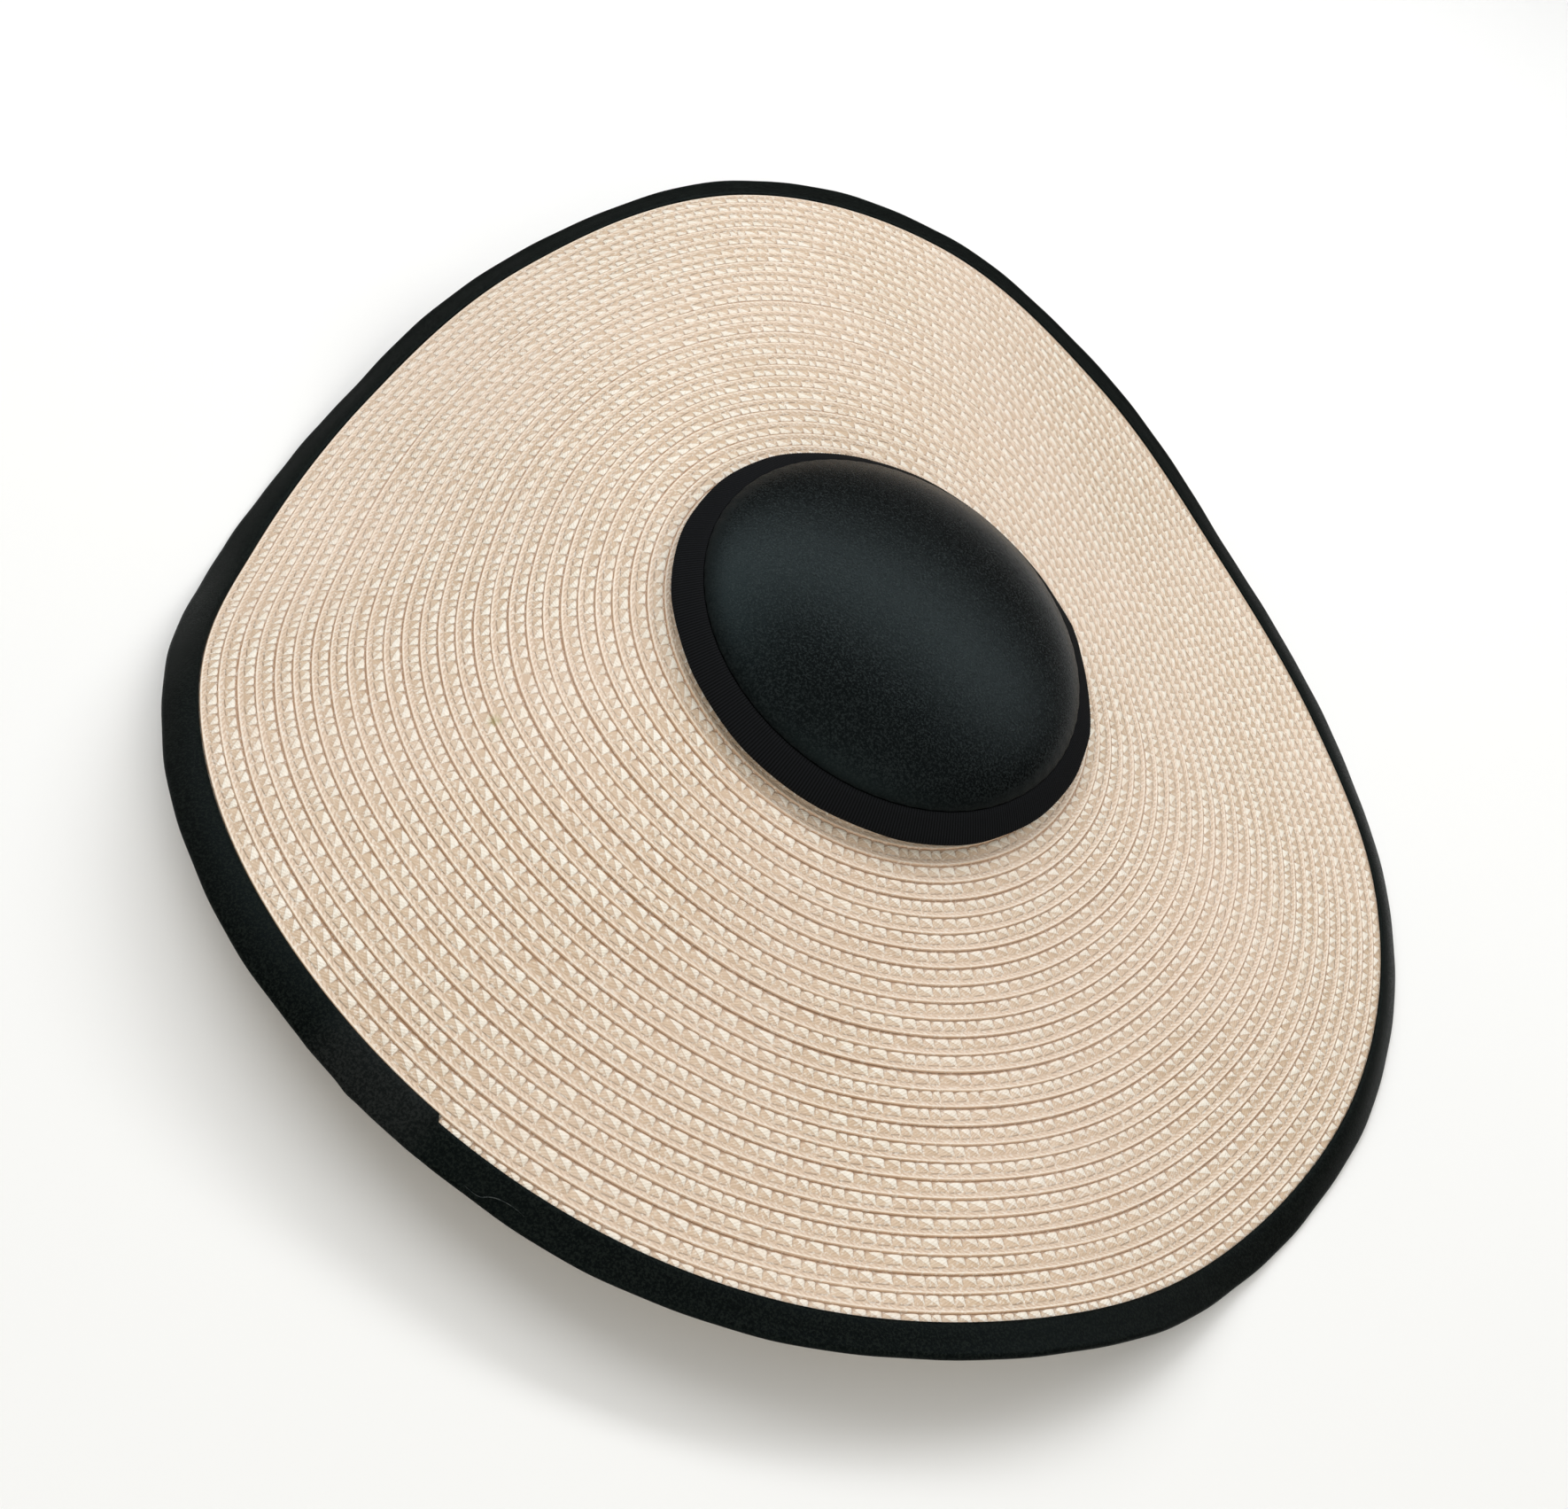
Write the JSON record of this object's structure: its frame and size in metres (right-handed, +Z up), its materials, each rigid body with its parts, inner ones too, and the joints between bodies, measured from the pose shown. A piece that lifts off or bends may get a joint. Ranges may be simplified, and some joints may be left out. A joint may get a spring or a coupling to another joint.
{
  "type": "sun hat",
  "caption": "Wide-brimmed sun hat of sewn straw braid with a shallow black satin cap, a ribbed ribbon round the cap and a satin strip round the edge.",
  "frame": {"origin": "middle of the hat's footprint, on the surface that its rim stands on", "axes": "+Z up from that surface, -Y towards the side that the picture sees nearest"},
  "size_m": [0.4674, 0.4854, 0.0946],
  "materials": {
    "cap_satin": "black satin with a soft sheen",
    "ribbon": "matt black ribbed ribbon",
    "straw_braid": "pale straw braid with a light gloss",
    "edge_satin": "folded black satin"
  },
  "bodies": {
    "root": {"crown": "cap_satin", "crown_band": "ribbon", "brim": "straw_braid", "edge_binding": "edge_satin"}
  },
  "joints": []
}
